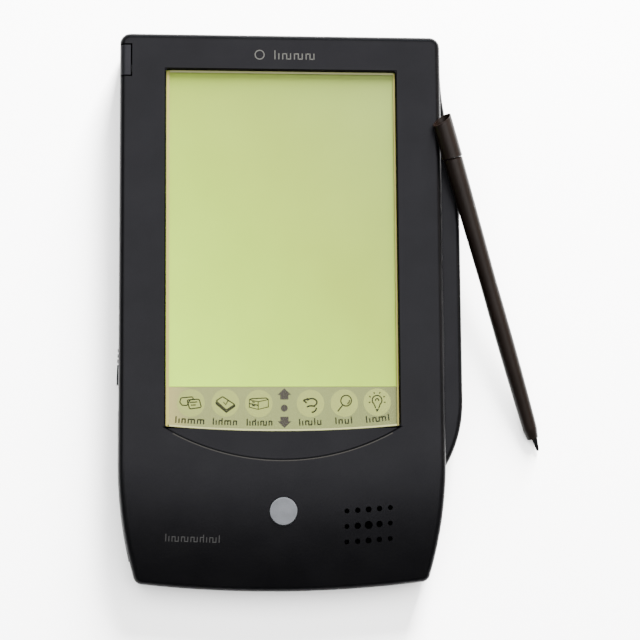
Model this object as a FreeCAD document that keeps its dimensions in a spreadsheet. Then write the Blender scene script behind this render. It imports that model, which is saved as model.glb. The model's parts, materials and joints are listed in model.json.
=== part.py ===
"""Pen-operated personal digital assistant, lying on its back, with its stylus leaning on the right side.

Frame: +Z out of the display, +Y towards the top of the screen, +X to the right. The origin is on the
flat underside, midway along the case and midway across it. Lengths are in millimetres.
"""
import FreeCAD, Part
import math
import os
import re

import Sketcher
from FreeCAD import Placement, Rotation, Vector

DIMENSIONS = {
    # Case outline and section
    "case_half_width": 53.4, "case_top": 92.0, "case_bottom": -92.0, "case_height": 19.05,
    "split_height": 9.5, "taper_start": -50.0, "taper_radius": 140.0, "bottom_radius": 390.0,
    "top_corner": 3.5, "bottom_corner": 3.0, "front_edge": 2.2, "rear_edge": 3.5,
    "chin_start": -50.0, "chin_radius": 143.0, "seam_break": 0.25,
    "floor_thickness": 1.8, "cover_ceiling": 17.55,
    "cavity_left": -51.6, "cavity_right": 47.2, "cavity_top": 90.2, "cavity_step": -52.0,
    "chin_cavity_half": 46.5, "chin_cavity_end": -88.0,
    "chin_step_one": -62.0, "chin_step_two": -81.1,
    "chin_ceiling_one": 16.4, "chin_ceiling_two": 13.6, "chin_ceiling_three": 11.4,
    # Display window, the crescent recess below it and the display stack
    "window_half": 38.35, "window_top": 79.9, "window_bottom": -38.5, "window_arc": 430.0,
    "window_corner": 0.9, "window_bevel": 0.25,
    "crescent_half": 37.4, "crescent_level": -39.2, "crescent_arc": 75.5, "crescent_depth": 0.9,
    "crescent_slope": 30.0,
    "panel_half": 39.6, "panel_top": 81.4, "panel_bottom": -41.8, "panel_thickness": 0.55,
    "gasket_thickness": 0.2, "gasket_lap": 0.15,
    "glass_half": 39.0, "glass_top": 80.8, "strip_top": -25.6, "strip_bottom": -41.6,
    "glass_thickness": 1.45, "reflector_thickness": 0.25, "display_gap": 0.05,
    "frame_half": 41.8, "frame_top": 83.8, "frame_bottom": -43.6, "frame_base": 13.2, "frame_floor": 15.0,
    "frame_pocket_half": 40.0, "frame_pocket_top": 81.8, "frame_pocket_bottom": -42.0,
    # Speaker and badge in the chin
    "speaker_x": 27.7, "speaker_y": -70.7, "speaker_radius": 8.2, "speaker_height": 2.6,
    "speaker_mesh_thickness": 0.2, "speaker_gasket_height": 0.4,
    "speaker_hole_pitch": 3.55, "speaker_row_pitch": 5.0,
    "speaker_hole_small": 0.8, "speaker_hole_large": 1.3,
    "badge_y": -66.0, "badge_radius": 4.6, "badge_height": 1.1, "badge_sunk": 0.6, "badge_tilt": 6.4,
    # Stylus bay along the right side
    "bay_inner": 49.2, "bay_outer": 60.0, "bay_base": 0.8, "bay_top": 14.0, "bay_low_end": -52.3,
    "bay_low_straight": -30.0, "bay_low_arc": 42.0, "bay_high_straight": 36.4, "bay_bend": 59.25,
    "bay_flare_end": 82.1, "bay_high_end": 86.0, "bay_ledge": 0.7, "bay_flare_arc": 90.0,
    "bay_top_edge": 1.8, "bay_base_edge": 3.5,
    "bay_bore_x": 54.2, "bay_bore_z": 7.4, "bay_bore_radius": 3.6, "bay_bore_end": -47.0,
    # Stylus
    "stylus_tip_x": 86.6, "stylus_tip_y": -46.2, "stylus_tip_z": 1.1,
    "stylus_run_x": -33.7, "stylus_run_y": 109.4, "stylus_rise": 21.45,
    "nib_length": 4.6, "nib_radius": 1.0, "nib_tip": 0.5, "nib_offset": 0.6, "barrel_low_radius": 1.9,
    "barrel_neck": 8.0, "barrel_neck_radius": 2.45, "barrel_belly": 60.0, "barrel_belly_radius": 2.8,
    "barrel_bulge": 1500.0,
    "barrel_end": 102.6, "barrel_end_radius": 3.2, "cap_end": 115.9, "cap_radius": 3.35,
    "cap_slope_side": 0.365, "cap_slope_face": 0.23, "cap_cutter": 16.0,
    "cap_cup_radius": 2.85, "cap_cup_edge": 1.6, "cap_cup_depth": 2.8, "cap_cup_arc": 4.0,
    # Battery compartment
    "door_left": -45.6, "door_right": -3.2, "door_top": -32.0, "door_thickness": 1.7,
    "door_tongue": 1.2, "door_gap": 0.2,
    "cell_radius": 5.25, "cell_length": 44.5, "cell_pitch": 10.55, "cell_first": -40.2,
    "cell_low_end": -77.9, "cell_axis_height": 7.2, "cell_button_radius": 1.9, "cell_button": 0.9,
    "tray_left": -46.3, "tray_right": -2.5, "tray_low": -80.9, "tray_high": -31.3,
    "tray_base": 1.9, "tray_roof": 13.0, "tray_wall": 0.55,
    # Main board
    "board_left": -42.2, "board_right": 41.5, "board_low": -30.0, "board_high": 88.0,
    "board_base": 9.2, "board_thickness": 1.2,
    "board_screw_x": 38.5, "board_screw_left": -39.5,
    # Card bay
    "slot_left": -22.0, "slot_right": 34.0, "slot_low": 2.05, "slot_high": 8.9,
    "cage_left": -22.6, "cage_right": 34.6, "cage_front": 83.0, "cage_back": 4.0,
    "cage_base": 3.5, "cage_top": 9.1, "cage_rail": 1.3, "cage_sheet": 0.3, "cage_roof": 0.2,
    "flap_axis_y": 90.6, "flap_axis_z": 3.0, "flap_high": 8.7, "flap_barrel": 0.9, "flap_pin": 0.5,
    "flap_bore": 0.56,
    # Card eject button and latch lever at the top left
    "eject_low": 77.6, "eject_high": 87.7, "eject_inner": -49.8, "eject_gap": 0.5, "eject_base": 10.6,
    "lever_axis_x": -38.0, "lever_axis_z": 7.4, "lever_y": 82.4, "lever_half_width": 1.5,
    "lever_pin": 0.6, "lever_bore": 0.66,
    # Left side controls and sockets
    "serial_y": 48.0, "serial_z": 9.5, "serial_bore": 4.7, "serial_depth": 7.0,
    "jack_y": 30.0, "jack_z": 6.4, "jack_bore": 2.75, "jack_depth": 8.0,
    "socket_face": -51.4, "socket_back": -42.4,
    "dial_x": -48.3, "dial_y": 8.0, "dial_radius": 5.05, "dial_base": 6.9, "dial_height": 2.2,
    "dial_bore": 1.06, "dial_shaft": 1.0,
    "switch_y": -18.3, "switch_length": 11.8, "switch_travel": 2.5, "switch_proud": 0.8, "switch_ramp": 2.2,
    # Small pieces
    "grip_proud": 0.3, "grip_sunk": 0.8, "grip_base": 3.9, "grip_top": 9.1,
    "grip_end": -82.0, "grip_left_start": -33.0, "grip_right_start": -54.5,
    "foot_radius": 4.5, "foot_depth": 0.8, "reset_y": 55.0, "reset_radius": 1.2, "reset_travel": 0.3,
    "screw_radius": 1.0, "screw_head": 1.75, "post_radius": 2.4, "screw_hole": 1.05,
}

doc = FreeCAD.newDocument("personal_digital_assistant")
sheet = doc.addObject("Spreadsheet::Sheet", "dims")
for row, (alias, size) in enumerate(DIMENSIONS.items(), 1):
    sheet.set(f"A{row}", alias)
    sheet.set(f"B{row}", str(size))
    sheet.setAlias(f"B{row}", alias)
doc.recompute()

NODES = {}
AXES = {
    "X": Rotation(Vector(0, 1, 0), 90),
    "Y": Rotation(Vector(1, 0, 0), -90),
    "Z": Rotation(),
}


# ---- Helpers: everything takes expressions in the sheet's names ----

def bound(text):
    """The same expression with each of the sheet's names pointed at the sheet."""
    return re.sub(r"[a-z][a-z_]+", lambda m: "dims." + m.group() if m.group() in DIMENSIONS else m.group(),
                  str(text))


def value(text):
    return float(sheet.evalExpression(bound(text)))


def keep(node, thing):
    """Name a finished sub-part."""
    thing.Label = node
    NODES[node] = thing
    return thing


def place(thing, x, y, z, axis="Z"):
    """Put a primitive with its base at x, y, z and its length along an axis."""
    thing.Placement = Placement(Vector(value(x), value(y), value(z)), AXES[axis])
    for name, text in (("x", x), ("y", y), ("z", z)):
        thing.setExpression(f"Placement.Base.{name}", bound(text))
    return thing


def block(name, x, y, z):
    """A box between a low and a high expression on each axis."""
    box = doc.addObject("Part::Box", name)
    for side, (low, high) in zip(("Length", "Width", "Height"), (x, y, z)):
        box.setExpression(side, bound(f"({high}) - ({low})"))
    return place(box, x[0], y[0], z[0])


def rod(name, x, y, z, radius, length, axis="Z"):
    cylinder = doc.addObject("Part::Cylinder", name)
    cylinder.setExpression("Radius", bound(radius))
    cylinder.setExpression("Height", bound(length))
    return place(cylinder, x, y, z, axis)


def taper(name, x, y, z, radii, length, axis="Z"):
    cone = doc.addObject("Part::Cone", name)
    cone.setExpression("Radius1", bound(radii[0]))
    cone.setExpression("Radius2", bound(radii[1]))
    cone.setExpression("Height", bound(length))
    return place(cone, x, y, z, axis)


def join(name, shapes):
    if len(shapes) == 1:
        return shapes[0]
    union = doc.addObject("Part::MultiFuse", name)
    union.Shapes = shapes
    return union


def group(name, shapes):
    """Several separate solids in one sub-part."""
    compound = doc.addObject("Part::Compound", name)
    compound.Links = shapes
    return compound


def cut(name, base, tools):
    difference = doc.addObject("Part::Cut", name)
    difference.Base = base
    difference.Tool = join(name + "_tools", tools)
    return difference


def overlap(name, base, tool):
    common = doc.addObject("Part::Common", name)
    common.Base = base
    common.Tool = tool
    return common


def round_edges(name, base, radius, wanted):
    """Fillet the edges of a Part shape that the wanted test picks."""
    doc.recompute()
    fillet = doc.addObject("Part::Fillet", name)
    fillet.Base = base
    size = value(radius)
    fillet.Edges = [(i, size, size) for i, edge in enumerate(base.Shape.Edges, 1) if wanted(edge)]
    return fillet


def new_body(name):
    return doc.addObject("PartDesign::Body", name)


def new_sketch(body, role, offset="0"):
    sketch = body.newObject("Sketcher::SketchObject", body.Name + "_sketch")
    plane = [feature for feature in body.Origin.OriginFeatures if feature.Role == role][0]
    sketch.AttachmentSupport = (plane, [""])
    sketch.MapMode = "FlatFace"
    sketch.setExpression("AttachmentOffset.Base.z", bound(offset))
    return sketch


def pin_down(sketch, geometry, position, x, y):
    """Fix a sketch point at x, y given as expressions."""
    for kind, text in (("DistanceX", x), ("DistanceY", y)):
        index = sketch.addConstraint(Sketcher.Constraint(kind, -1, 1, geometry, position, value(text)))
        sketch.setExpression(f"Constraints[{index}]", bound(text))


def set_radius(sketch, geometry, radius):
    index = sketch.addConstraint(Sketcher.Constraint("Radius", geometry, abs(value(radius))))
    sketch.setExpression(f"Constraints[{index}]", bound(f"abs({radius})"))


def add_circle(sketch, x, y, radius):
    circle = sketch.addGeometry(Part.Circle(Vector(value(x), value(y), 0), Vector(0, 0, 1), value(radius)))
    pin_down(sketch, circle, 3, x, y)
    set_radius(sketch, circle, radius)


def arc_between(start, end, radius):
    """Arc of a given radius; a positive radius turns left on the way, a negative one right."""
    half = (end - start) * 0.5
    height = math.sqrt(radius ** 2 - half.Length ** 2)
    side = Vector(-half.y, half.x, 0).normalize() * math.copysign(height, radius)
    centre = start + half + side
    first, last = (start, end) if radius > 0 else (end, start)
    angles = [math.atan2(p.y - centre.y, p.x - centre.x) for p in (first, last)]
    if angles[1] < angles[0]:
        angles[1] += 2 * math.pi
    return Part.ArcOfCircle(Part.Circle(centre, Vector(0, 0, 1), abs(radius)), *angles)


def add_loop(sketch, corners):
    """Closed outline: each corner is (x, y, radius of the arc to the next corner, or None if straight)."""
    points = [Vector(value(x), value(y), 0) for x, y, _ in corners]
    ends = []
    for i, (_, _, radius) in enumerate(corners):
        start, end = points[i], points[(i + 1) % len(points)]
        if radius is None:
            ends.append((sketch.addGeometry(Part.LineSegment(start, end)), 1, 2))
        else:
            arc = sketch.addGeometry(arc_between(start, end, value(radius)))
            ends.append((arc, 1, 2) if value(radius) > 0 else (arc, 2, 1))
    for i, (x, y, radius) in enumerate(corners):
        before, (edge, first, _) = ends[i - 1], ends[i]
        sketch.addConstraint(Sketcher.Constraint("Coincident", before[0], before[2], edge, first))
        pin_down(sketch, edge, first, x, y)
        if radius is not None:
            set_radius(sketch, edge, radius)


def add_rectangle(sketch, x, y):
    add_loop(sketch, [(x[0], y[0], None), (x[1], y[0], None), (x[1], y[1], None), (x[0], y[1], None)])


def add_feature(body, kind, sketch, length, **settings):
    feature = body.newObject("PartDesign::" + kind, body.Name + "_" + kind.lower())
    feature.Profile = sketch
    feature.setExpression("Length", bound(length))
    for name, setting in settings.items():
        setattr(feature, name, setting)
    return feature


def plate(name, outline, low, high):
    """A body padded from one height to another; outline draws on its sketch."""
    body = new_body(name)
    sketch = new_sketch(body, "XY_Plane", low)
    outline(sketch)
    add_feature(body, "Pad", sketch, f"({high}) - ({low})")
    return body


def turned(name, corners, plane="XZ_Plane"):
    """A body of revolution about its own Z axis from a half section of (radius, height, arc)."""
    body = new_body(name)
    sketch = new_sketch(body, plane)
    add_loop(sketch, corners)
    spin = body.newObject("PartDesign::Revolution", name + "_revolution")
    spin.Profile = sketch
    spin.ReferenceAxis = (sketch, ["V_Axis"])
    spin.Angle = 360
    return body


def dress(body, kind, size, wanted):
    """Fillet or chamfer the edges of a body that the wanted test picks."""
    doc.recompute()
    base = body.Tip
    feature = body.newObject("PartDesign::" + kind, body.Name + "_" + kind.lower())
    names = [f"Edge{i}" for i, edge in enumerate(base.Shape.Edges, 1) if wanted(edge)]
    feature.Base = (base, names)
    feature.setExpression("Radius" if kind == "Fillet" else "Size", bound(size))
    return feature


def is_upright(edge):
    box = edge.BoundBox
    return box.XLength < 0.01 and box.YLength < 0.01


def at_height(edge, height):
    box = edge.BoundBox
    return abs(box.ZMin - value(height)) < 0.01 and abs(box.ZMax - value(height)) < 0.01


# ---- Case shells ----

def draw_case_outline(sketch, inset="0"):
    """Plan outline: straight top and sides, sides that taper in on long arcs, and a bowed bottom edge."""
    half, top = f"case_half_width - ({inset})", f"case_top - ({inset})"
    side_arc, bottom_arc = f"taper_radius - ({inset})", f"bottom_radius - ({inset})"
    centre_x, centre_y = value(f"{half} - ({side_arc})"), value("taper_start")
    bow_y, side, bow = value("case_bottom + bottom_radius"), value(side_arc), value(bottom_arc)
    gap = math.hypot(centre_x, bow_y - centre_y)
    along = (side ** 2 - bow ** 2 + gap ** 2) / (2 * gap)
    off = math.sqrt(side ** 2 - along ** 2)
    unit = Vector(-centre_x, bow_y - centre_y, 0).normalize()
    corner = Vector(centre_x, centre_y, 0) + unit * along + Vector(unit.y, -unit.x, 0) * off
    if corner.y > centre_y:
        corner = Vector(centre_x, centre_y, 0) + unit * along - Vector(unit.y, -unit.x, 0) * off
    mirrored = Vector(-corner.x, corner.y, 0)
    high_right, low_right = Vector(value(half), value(top), 0), Vector(value(half), centre_y, 0)
    high_left, low_left = Vector(-high_right.x, high_right.y, 0), Vector(-low_right.x, centre_y, 0)
    right = sketch.addGeometry(Part.LineSegment(low_right, high_right))
    upper = sketch.addGeometry(Part.LineSegment(high_right, high_left))
    left = sketch.addGeometry(Part.LineSegment(high_left, low_left))
    left_arc = sketch.addGeometry(arc_between(low_left, mirrored, side))
    lower = sketch.addGeometry(arc_between(mirrored, corner, bow))
    right_arc = sketch.addGeometry(arc_between(corner, low_right, side))
    around = [right, upper, left, left_arc, lower, right_arc]
    for i, edge in enumerate(around):
        sketch.addConstraint(Sketcher.Constraint("Coincident", around[i - 1], 2, edge, 1))
    pin_down(sketch, right, 1, half, "taper_start")
    pin_down(sketch, upper, 1, half, top)
    pin_down(sketch, left, 1, f"-({half})", top)
    pin_down(sketch, left, 2, f"-({half})", "taper_start")
    for arc in (left_arc, right_arc):
        set_radius(sketch, arc, side_arc)
        level = sketch.addConstraint(Sketcher.Constraint("DistanceY", -1, 1, arc, 3, centre_y))
        sketch.setExpression(f"Constraints[{level}]", bound("taper_start"))
    pin_down(sketch, lower, 3, "0", "case_bottom + bottom_radius")
    set_radius(sketch, lower, bottom_arc)


def case_blank(name, low, high):
    body = plate(name, draw_case_outline, low, high)
    dress(body, "Fillet", "top_corner", lambda e: is_upright(e) and e.BoundBox.YMin > value("case_top") - 1)
    dress(body, "Fillet", "bottom_corner",
          lambda e: is_upright(e) and e.BoundBox.YMax < value("case_bottom") + 8)
    return body


def carve_chin(body):
    """Sweep the face down towards the bottom edge, concentric with the edge's bow."""
    sketch = new_sketch(body, "YZ_Plane")
    reach = "case_bottom - 6"
    drop = "case_height - chin_radius + sqrt(chin_radius * chin_radius - (chin_start - (case_bottom - 6))" \
           " * (chin_start - (case_bottom - 6)))"
    add_loop(sketch, [("chin_start", "case_height", None), ("chin_start", "case_height + 4", None),
                      (reach, "case_height + 4", None), (reach, drop, "-chin_radius")])
    far = Vector(value("case_bottom + bottom_radius"), 0, 0)
    axis = sketch.addGeometry(Part.LineSegment(far, far + Vector(0, 10, 0)), True)
    pin_down(sketch, axis, 1, "case_bottom + bottom_radius", "0")
    pin_down(sketch, axis, 2, "case_bottom + bottom_radius", "10")
    groove = body.newObject("PartDesign::Groove", body.Name + "_chin")
    groove.Profile = sketch
    groove.ReferenceAxis = (sketch, ["Axis0"])
    groove.Midplane = True
    groove.Angle = 20


def is_front_rim(edge, shape):
    """An edge between the outer wall and the face or chin."""
    if edge.BoundBox.ZMin < value("split_height") + 0.5 or is_upright(edge):
        return False
    owners = [face for face in shape.Faces if any(edge.isSame(other) for other in face.Edges)]
    slopes = []
    for face in owners:
        u_low, u_high, v_low, v_high = face.ParameterRange
        slopes.append(face.normalAt((u_low + u_high) / 2, (v_low + v_high) / 2).z)
    return len(slopes) == 2 and min(slopes) < 0.05 and max(slopes) > 0.3


def window_outline(sketch):
    add_loop(sketch, [("-window_half", "window_bottom", "window_arc"), ("window_half", "window_bottom", None),
                      ("window_half", "window_top", None), ("-window_half", "window_top", None)])


def crescent_outline(sketch):
    add_loop(sketch, [("-crescent_half", "crescent_level", "crescent_arc"),
                      ("crescent_half", "crescent_level", None)])


def speaker_holes():
    """Three rows of five holes, larger towards the middle, on arcs that follow the bottom edge."""
    holes = []
    for line in (-1, 0, 1):
        for column in range(-2, 3):
            x = f"speaker_x + {column} * speaker_hole_pitch"
            bow = f"((speaker_x + {column} * speaker_hole_pitch) * (speaker_x + {column} * speaker_hole_pitch)" \
                  " - speaker_x * speaker_x) / (2 * bottom_radius)"
            growth = max(0.0, 1 - math.hypot(column, 1.3 * line) / 2)
            radius = f"speaker_hole_small + {growth:.3f} * (speaker_hole_large - speaker_hole_small)"
            holes.append(rod("speaker_hole", x, f"speaker_y + {line} * speaker_row_pitch + {bow}",
                             "chin_ceiling_two - 1", radius, "case_height - chin_ceiling_two + 2"))
    return holes


def bay_bore():
    return rod("bay_bore", "bay_bore_x", "bay_bore_end", "bay_bore_z", "bay_bore_radius",
               "case_top + 2 - bay_bore_end", "Y")


def bay_room(high):
    """The space in the covers' right side that the stylus bay fills."""
    return block("bay_room", ("bay_inner - 0.2", "case_half_width + 1"),
                 ("bay_low_end - 0.2", "bay_high_end + 0.2"), ("-1", high))


def chin_cavity(low, steps):
    """The hollow under the chin, as steps of (far end, ceiling) from the case cavity downwards."""
    near, rooms = "cavity_step", []
    for far, ceiling in steps:
        rooms.append(block("chin_room", ("-chin_cavity_half", "chin_cavity_half"), (far, near), (low, ceiling)))
        near = far
    return rooms


def screw_places():
    """The four case screws' places."""
    return [("-45.5", "87.2"), ("44.5", "80"), ("3.6", "-84"), ("45.2", "-82")]


def badge_tool(name, grow, height):
    """A disc square to the sloping chin at the badge."""
    fall = "chin_start - badge_y"
    surface = f"case_height - chin_radius + sqrt(chin_radius * chin_radius - ({fall}) * ({fall}))"
    disc = rod(name, "0", "badge_y", f"{surface} - badge_sunk", f"badge_radius + {grow}", height)
    disc.Placement = Placement(disc.Placement.Base, Rotation(Vector(1, 0, 0), value("badge_tilt")))
    return disc


def front_cover():
    body = case_blank("front_blank", "split_height", "case_height")
    carve_chin(body)
    doc.recompute()
    shape = body.Tip.Shape
    dress(body, "Fillet", "front_edge", lambda e: is_front_rim(e, shape))
    dress(body, "Chamfer", "seam_break", lambda e: at_height(e, "split_height"))
    window = plate("window_tool", window_outline, "cover_ceiling - 1", "case_height + 1")
    dress(window, "Fillet", "window_corner", is_upright)
    lip = plate("window_lip", window_outline, "case_height - window_bevel", "case_height + 0.5")
    lip.Tip.setExpression("TaperAngle", "45")
    crescent = plate("crescent_tool", crescent_outline, "case_height - crescent_depth", "case_height + 1")
    crescent.Tip.setExpression("TaperAngle", bound("crescent_slope"))
    hollow = [
        block("main_room", ("cavity_left", "cavity_right"), ("cavity_step", "cavity_top"),
              ("split_height - 1", "cover_ceiling")),
        *chin_cavity("split_height - 1", [("chin_step_one", "chin_ceiling_one"),
                                          ("chin_step_two", "chin_ceiling_two"),
                                          ("chin_cavity_end", "chin_ceiling_three")]),
    ]
    button_room = block("button_room", ("-case_half_width - 1", "eject_inner + eject_gap"),
                        ("eject_low - eject_gap", "eject_high + eject_gap"),
                        ("split_height - 1", "case_height + 1"))
    serial_hole = rod("serial_hole", "-case_half_width - 1", "serial_y", "serial_z", "serial_bore + 0.5", "3", "X")
    shell = cut("front_shell", body, [
        *hollow, window, lip, crescent, button_room, serial_hole, bay_room("bay_top + 0.2"), bay_bore(),
        badge_tool("badge_room", "0.1", "3"), *speaker_holes()])
    bosses = [rod("front_boss", x, y, "split_height", "post_radius", "cover_ceiling - split_height + 0.4")
              for x, y in screw_places()[:2]]
    bosses += [rod("front_boss", x, y, "split_height", "post_radius", "chin_ceiling_three - split_height + 0.4")
               for x, y in screw_places()[2:]]
    threads = [rod("front_thread", x, y, "split_height - 1", "screw_hole", "3.9") for x, y in screw_places()]
    keep("front_cover", cut("front_cover_part", join("front_with_bosses", [shell, *bosses]), threads))


def rear_posts():
    """Posts for the case screws, the board's posts and the two ears of the latch lever's pin."""
    posts = [rod("case_post", x, y, "floor_thickness - 0.6", "post_radius", "split_height - floor_thickness + 0.6")
             for x, y in screw_places()]
    posts += [rod("board_post", x, y, "floor_thickness - 0.6", "2", "board_base - floor_thickness + 0.6")
              for x, y in board_screw_places()]
    for near, far in (("-3.6", "-2"), ("2", "3.6")):
        posts.append(block("lever_ear", ("lever_axis_x - 1.3", "lever_axis_x + 1.3"),
                           (f"lever_y + {near}", f"lever_y + {far}"), ("floor_thickness - 0.6", "8.6")))
    return posts


def rear_holes():
    """Bores through the posts, screw heads' counterbores and the openings in floor and walls."""
    holes = []
    for x, y in screw_places():
        holes.append(rod("screw_way", x, y, "-1", "screw_hole", "split_height + 2"))
        holes.append(rod("screw_counterbore", x, y, "-1", "screw_head + 0.15", "3.45"))
    for x, y in board_screw_places():
        holes.append(rod("board_thread", x, y, "board_base - 5", "0.85", "6"))
    for x, y in foot_places():
        holes.append(rod("foot_recess", x, y, "-1", "foot_radius + 0.1", "1 + foot_depth"))
    holes.append(rod("lever_pin_hole", "lever_axis_x", "lever_y - 5", "lever_axis_z", "lever_pin + 0.02",
                     "10", "Y"))
    holes.append(rod("reset_hole", "board_screw_x", "reset_y", "-1", "reset_radius + 0.15", "4"))
    holes.append(block("card_mouth", ("slot_left", "slot_right"), ("cavity_top - 0.4", "case_top + 1"),
                       ("slot_low", "slot_high")))
    holes.append(rod("flap_pin_hole", "slot_left - 2.6", "flap_axis_y", "flap_axis_z", "flap_pin + 0.02",
                     "slot_right - slot_left + 5.2", "X"))
    holes.append(block("infrared_opening", ("37.5", "48.5"), ("cavity_top - 1", "case_top + 1"), ("4.4", "9")))
    holes.append(rod("serial_way", "-case_half_width - 1", "serial_y", "serial_z", "serial_bore + 0.5", "3", "X"))
    holes.append(rod("jack_way", "-case_half_width - 1", "jack_y", "jack_z", "jack_bore + 0.6", "3", "X"))
    holes.append(block("dial_slot", ("-case_half_width - 1", "cavity_left + 0.5"),
                       ("dial_y - 4.7", "dial_y + 4.7"), ("dial_base - 0.3", "dial_base + dial_height + 0.3")))
    holes.append(block("switch_slot", ("-case_half_width - 1", "cavity_left + 0.5"),
                       ("switch_y - 2.8 - switch_travel", "switch_y + 2.9"), ("6.1", "8.3")))
    return holes


def rear_cover(blank):
    door_room = [
        block("door_room", ("door_left - door_gap", "door_right + door_gap"),
              ("case_bottom - 2", "door_top + door_gap"), ("-1", "floor_thickness + 0.1")),
        block("tongue_room", ("door_left - door_tongue - door_gap", "door_right + door_tongue + door_gap"),
              ("case_bottom - 2", "door_top + door_gap"), ("0.8", "floor_thickness + 0.1")),
    ]
    hollow = [
        block("rear_room", ("cavity_left", "cavity_right"), ("cavity_step", "cavity_top"),
              ("floor_thickness", "split_height + 1")),
        *chin_cavity("floor_thickness", [("chin_cavity_end", "split_height + 1")]),
    ]
    shell = cut("rear_shell", blank, [*hollow, *door_room])
    strips = [grip_strip("grip_room", side, "grip_proud + 0.5", "grip_sunk + 0.05", "0.1") for side in (-1, 1)]
    posted = join("rear_with_posts", [shell, *rear_posts()])
    keep("rear_cover", cut("rear_cover_part", posted,
                           [*rear_holes(), *strips, bay_room("split_height + 1"), bay_bore()]))


def battery_door(blank):
    """Slides off towards the bottom edge; its long tongues run in the rear cover's rebates."""
    outline = join("door_outline", [
        block("door_leaf", ("door_left", "door_right"), ("case_bottom - 2", "door_top"), ("-1", "door_thickness")),
        block("door_tongues", ("door_left - door_tongue", "door_right + door_tongue"),
              ("case_bottom - 2", "door_top"), ("1", "door_thickness")),
    ])
    leaf = overlap("door_solid", blank, outline)
    grooves = [block("door_ridge_gap", ("door_left + 12", "door_right - 12"),
                     (f"door_top - {8 + 2.4 * i}", f"door_top - {7 + 2.4 * i}"), ("-1", "0.4")) for i in range(6)]
    keep("battery_door", cut("battery_door_part", leaf, grooves))


def grip_strip(name, side, proud, sunk, grow):
    """A strip that follows the tapering side, from proud of the case to sunk into it."""
    start = "grip_left_start" if side < 0 else "grip_right_start"
    outer = plate(name + "_outer", lambda sk: draw_case_outline(sk, f"-({proud})"),
                  f"grip_base - {grow}", f"grip_top + {grow}")
    inner = plate(name + "_inner", lambda sk: draw_case_outline(sk, sunk), "grip_base - 1", "grip_top + 1")
    ends = ("30", "case_half_width + 2") if side > 0 else ("-case_half_width - 2", "-30")
    window = block(name + "_span", ends, (f"grip_end - {grow}", f"{start} + {grow}"),
                   (f"grip_base - {grow} - 0.5", f"grip_top + {grow} + 0.5"))
    return overlap(name, cut(name + "_ring", outer, [inner]), window)


def grips():
    strips = [grip_strip("grip_strip", side, "grip_proud", "grip_sunk", "0") for side in (-1, 1)]
    keep("grip_strips", group("grip_group", strips))


def foot_places():
    return [("-43", "70"), ("40.5", "68"), ("40", "-68"), ("-40", "-25")]


def feet():
    """Round rubber pads let into the underside, flush with it."""
    keep("rubber_feet", group("foot_group", [rod("foot", x, y, "0", "foot_radius", "foot_depth - 0.02")
                                             for x, y in foot_places()]))


def case_screws():
    screws = []
    for x, y in screw_places():
        shank = rod("screw_shank", x, y, "2.3", "screw_radius", "10")
        head = rod("screw_head_disc", x, y, "0.9", "screw_head", "1.5")
        driver = [block("driver_slot", (f"{x} - {a}", f"{x} + {a}"), (f"{y} - {b}", f"{y} + {b}"), ("0", "1.6"))
                  for a, b in ((1.2, 0.25), (0.25, 1.2))]
        screws.append(cut("case_screw", join("screw_blank", [shank, head]), driver))
    keep("case_screws", group("case_screw_group", screws))


# ---- Stylus bay and stylus ----

def stylus_bay():
    def outline(sketch):
        ledge = "case_half_width + bay_ledge"
        middle = f"(bay_outer + {ledge}) / 2"
        add_loop(sketch, [
            ("bay_inner", "bay_low_end", None), ("case_half_width + 0.2", "bay_low_end", "bay_low_arc"),
            ("bay_outer", "bay_low_straight", None), ("bay_outer", "bay_high_straight", "bay_flare_arc"),
            (middle, "bay_bend", "-bay_flare_arc"), (ledge, "bay_flare_end", None),
            (ledge, "bay_high_end", None),
            ("bay_inner", "bay_high_end", None)])

    def is_outer(edge, height):
        return at_height(edge, height) and edge.BoundBox.XMax > value("case_half_width") + 0.3

    body = plate("bay_blank", outline, "bay_base", "bay_top")
    dress(body, "Fillet", "bay_top_edge", lambda e: is_outer(e, "bay_top"))
    dress(body, "Fillet", "bay_base_edge", lambda e: is_outer(e, "bay_base") and e.BoundBox.YMin > -53)
    keep("stylus_bay", cut("stylus_bay_part", body, [bay_bore()]))


def lean():
    """Where the stylus lies: its tip by the floor, its far end above the case's right edge."""
    run = Vector(value("stylus_run_x"), value("stylus_run_y"), value("stylus_rise"))
    tip = Vector(value("stylus_tip_x"), value("stylus_tip_y"), value("stylus_tip_z"))
    heading = Rotation(Vector(0, 0, 1), math.degrees(math.atan2(-run.x, run.y)))
    climb = Rotation(Vector(1, 0, 0), math.degrees(math.atan2(run.z, math.hypot(run.x, run.y))) - 90)
    return Placement(tip, heading * climb)


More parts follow.
